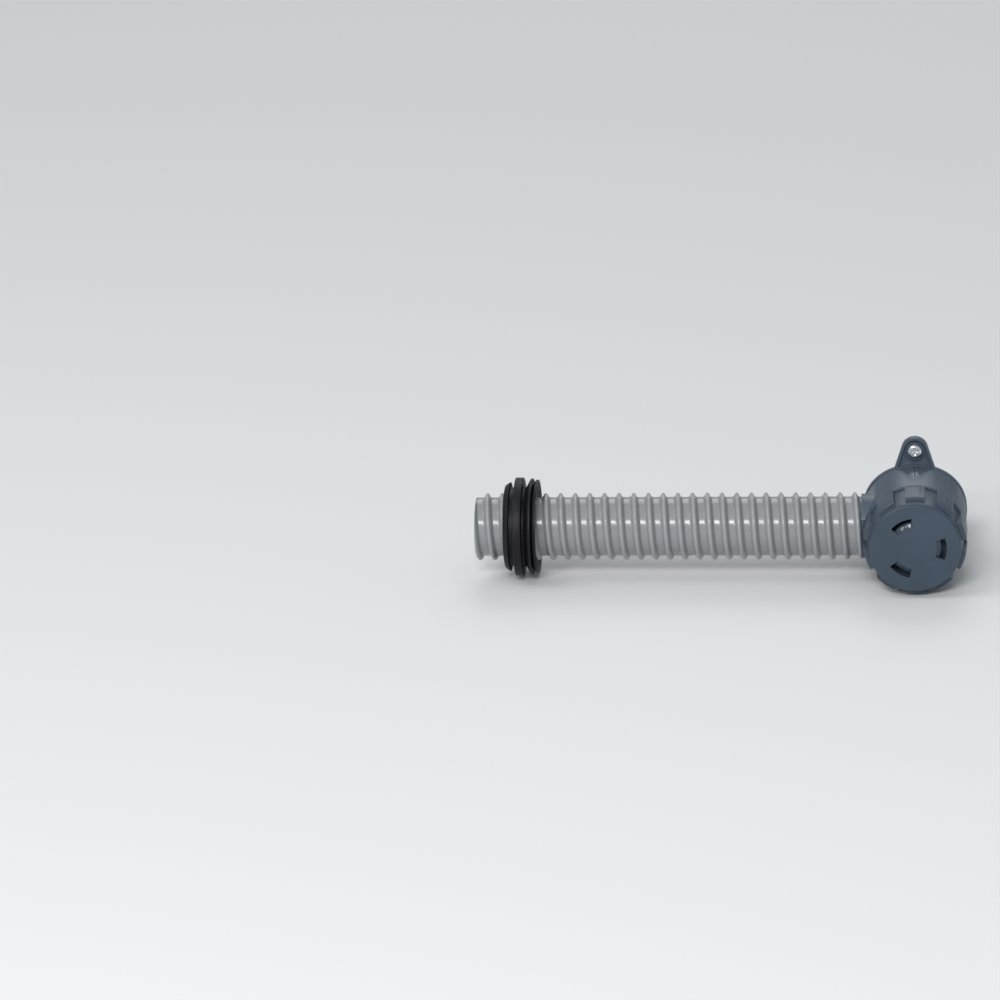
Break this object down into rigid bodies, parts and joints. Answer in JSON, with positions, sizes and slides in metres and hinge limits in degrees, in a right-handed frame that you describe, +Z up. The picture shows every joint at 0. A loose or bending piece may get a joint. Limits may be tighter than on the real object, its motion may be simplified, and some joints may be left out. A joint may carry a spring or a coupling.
{
  "type": "rainwater diverter",
  "caption": "Rainwater diverter for a round downpipe: saddle housing with a screw ear and a turning fluted cap, a ribbed hose to the side and a rubber grommet for a water butt.",
  "frame": {"origin": "the point where the axis of the snout meets the front of the pipe that the saddle fits", "axes": "+Z up along the pipe, +Y along the snout into the pipe so that the cap faces -Y, and the hose leaves towards -X"},
  "size_m": [0.2833, 0.1355, 0.0767],
  "materials": {
    "housing_plastic": "blue-grey moulded polypropylene, satin",
    "cap_plastic": "blue-grey moulded polypropylene, satin, fine moulded grain on the face",
    "drum_plastic": "dark grey moulded polypropylene",
    "scoop_rubber": "soft black rubber, matt",
    "seal_rubber": "black sealing rubber, matt",
    "screw_zinc": "bright zinc-plated steel",
    "hose_plastic": "mid-grey soft plastic, satin, with a stiff rib",
    "grommet_rubber": "black rubber, slightly dusty"
  },
  "bodies": {
    "diverter_body": {"housing": "housing_plastic", "saddle_gasket": "seal_rubber", "fixing_screw": "screw_zinc", "hose": "hose_plastic", "hose_grommet": "grommet_rubber"},
    "turning_insert": {"turning_cap": "cap_plastic", "valve_drum": "drum_plastic", "front_seal_ring": "seal_rubber", "rear_seal_ring": "seal_rubber", "catch_scoop": "scoop_rubber"}
  },
  "joints": [
    {"name": "cap_turn", "type": "hinge", "parent": "diverter_body", "child": "turning_insert", "pos_m": [0, -0.03, 0], "axis": [0, 1, 0], "range_deg": [0, 180]}
  ]
}
